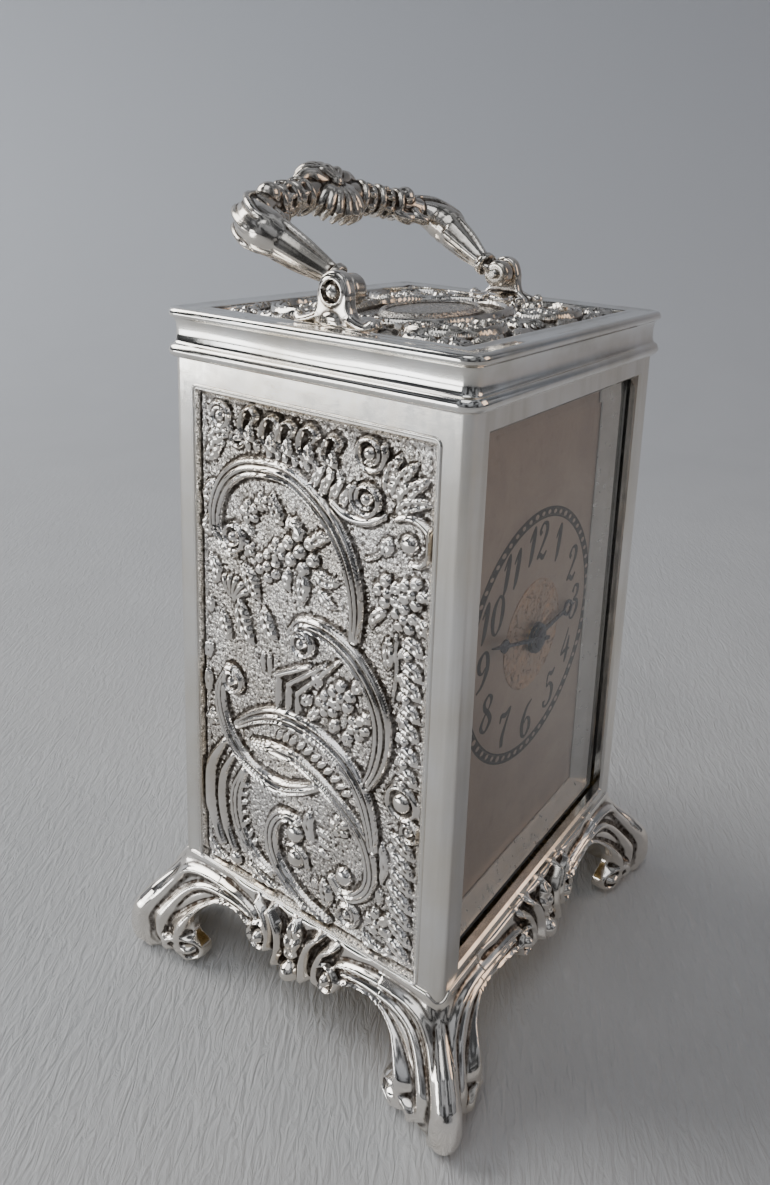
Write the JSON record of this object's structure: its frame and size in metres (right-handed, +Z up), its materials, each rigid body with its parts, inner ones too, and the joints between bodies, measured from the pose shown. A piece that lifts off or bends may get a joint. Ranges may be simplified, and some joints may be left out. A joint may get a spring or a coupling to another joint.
{
  "type": "carriage clock",
  "caption": "Small silver-cased carriage clock on scroll feet, with chased side panels, a swinging handle, a glazed front and a hinged rear door over a mechanical movement.",
  "frame": {"origin": "centre of the bounding box on the floor plane under the feet", "axes": "+Z up; the dial faces -Y; the chased side seen with the dial is the -X side; the rear door is on +Y"},
  "size_m": [0.0644, 0.0584, 0.121],
  "materials": {
    "silver": "polished silver, darkened in the recesses",
    "brass": "lacquered, fine grained",
    "steel": "polished",
    "blued_steel": "heat blued",
    "glass": "bevelled, clear",
    "dial_silvering": "matt silvering, aged to a pinkish grey",
    "gilt": "engraved and gilt, worn"
  },
  "bodies": {
    "case": {"case_front": "silver", "case_rear": "silver", "case_left": "silver", "case_right": "silver", "panel_left": "silver", "panel_right": "silver", "cornice": "silver", "top_plate": "silver", "base_plate": "brass", "apron_front": "silver", "apron_rear": "silver", "apron_left": "silver", "apron_right": "silver", "foot_front_left": "silver", "foot_front_right": "silver", "foot_rear_left": "silver", "foot_rear_right": "silver", "bracket_left": "silver", "bracket_right": "silver", "handle_pins": "silver", "front_glass": "glass", "glass_frame": "brass", "dial_plate": "dial_silvering", "dial_centre": "gilt", "dial_feet": "brass", "plate_front": "brass", "plate_back": "brass", "pillars": "brass", "movement_screws": "steel", "seat_rails": "brass", "click_screw": "steel", "platform": "brass", "train_cock": "brass", "balance_cock": "brass", "case_hinges": "silver"},
    "handle": {"handle": "silver"},
    "rear_door": {"door_frame": "silver", "door_panel": "silver", "key_bushings": "brass", "door_knob": "silver"},
    "going_barrel": {"barrel": "brass", "barrel_cover": "brass", "mainspring": "steel"},
    "winding_arbor": {"winding_arbor": "steel", "ratchet_wheel": "steel"},
    "click": {"click": "steel"},
    "centre_wheel": {"centre_wheel": "brass"},
    "hands_arbor": {"centre_arbor": "steel", "cannon_pinion": "steel", "minute_hand": "blued_steel"},
    "minute_wheel": {"minute_wheel": "brass"},
    "hour_wheel": {"hour_wheel": "brass", "hour_hand": "blued_steel"},
    "third_wheel": {"third_wheel": "brass"},
    "contrate_wheel": {"contrate_wheel": "brass"},
    "escape_wheel": {"escape_wheel": "brass"},
    "pallet_lever": {"pallet_lever": "steel"},
    "balance": {"balance": "brass", "hairspring": "blued_steel"},
    "regulator": {"regulator": "steel"}
  },
  "joints": [
    {"name": "handle_hinge", "type": "hinge", "parent": "case", "child": "handle", "pos_m": [0, 0, 0.105], "axis": [1, 0, 0], "range_deg": [0, 122]},
    {"name": "door_hinge", "type": "hinge", "parent": "case", "child": "rear_door", "pos_m": [-0.0223, 0.0249, 0.055], "axis": [0, 0, 1], "range_deg": [0, 110]},
    {"name": "contrate_turn", "type": "hinge", "parent": "case", "child": "contrate_wheel", "pos_m": [0, 0, 0.06877], "axis": [0, 1, 0], "continuous": true},
    {"name": "third_turn", "type": "hinge", "parent": "case", "child": "third_wheel", "pos_m": [0.0085, 0, 0.06444], "axis": [0, 1, 0], "continuous": true},
    {"name": "centre_turn", "type": "hinge", "parent": "case", "child": "centre_wheel", "pos_m": [0, 0, 0.0556], "axis": [0, 1, 0], "continuous": true},
    {"name": "barrel_turn", "type": "hinge", "parent": "case", "child": "going_barrel", "pos_m": [-0.004, 0, 0.03967], "axis": [0, 1, 0], "continuous": true},
    {"name": "escape_turn", "type": "hinge", "parent": "case", "child": "escape_wheel", "pos_m": [0, -0.0089, 0.08], "axis": [0, 0, 1], "continuous": true},
    {"name": "hands_turn", "type": "hinge", "parent": "case", "child": "hands_arbor", "pos_m": [0, 0, 0.0556], "axis": [0, 1, 0], "continuous": true},
    {"name": "minute_wheel_turn", "type": "hinge", "parent": "case", "child": "minute_wheel", "pos_m": [0.00722, 0, 0.0556], "axis": [0, 1, 0], "continuous": true},
    {"name": "hour_turn", "type": "hinge", "parent": "case", "child": "hour_wheel", "pos_m": [0, 0, 0.0556], "axis": [0, 1, 0], "continuous": true},
    {"name": "winding_turn", "type": "hinge", "parent": "case", "child": "winding_arbor", "pos_m": [-0.004, 0, 0.03967], "axis": [0, 1, 0], "continuous": true},
    {"name": "click_pivot", "type": "hinge", "parent": "case", "child": "click", "pos_m": [0.0036, 0.0086, 0.04267], "axis": [0, 1, 0], "range_deg": [0, 12]},
    {"name": "lever_pivot", "type": "hinge", "parent": "case", "child": "pallet_lever", "pos_m": [0, -0.0049, 0.08], "axis": [0, 0, 1], "range_deg": [-5, 5]},
    {"name": "balance_swing", "type": "hinge", "parent": "case", "child": "balance", "pos_m": [0, 0.0006, 0.084], "axis": [0, 0, 1], "range_deg": [-135, 135], "stiffness_Nm_per_rad": 0.0000015},
    {"name": "regulator_turn", "type": "hinge", "parent": "case", "child": "regulator", "pos_m": [0, 0.0006, 0.0873], "axis": [0, 0, 1], "range_deg": [-25, 25]}
  ],
  "couplings": [
    {"joint": "third_turn", "follows": "contrate_turn", "ratio": -0.13333},
    {"joint": "centre_turn", "follows": "contrate_turn", "ratio": 0.016667},
    {"joint": "barrel_turn", "follows": "contrate_turn", "ratio": -0.0023148},
    {"joint": "escape_turn", "follows": "contrate_turn", "ratio": 8},
    {"joint": "minute_wheel_turn", "follows": "hands_turn", "ratio": -0.33333},
    {"joint": "hour_turn", "follows": "hands_turn", "ratio": 0.083333}
  ]
}
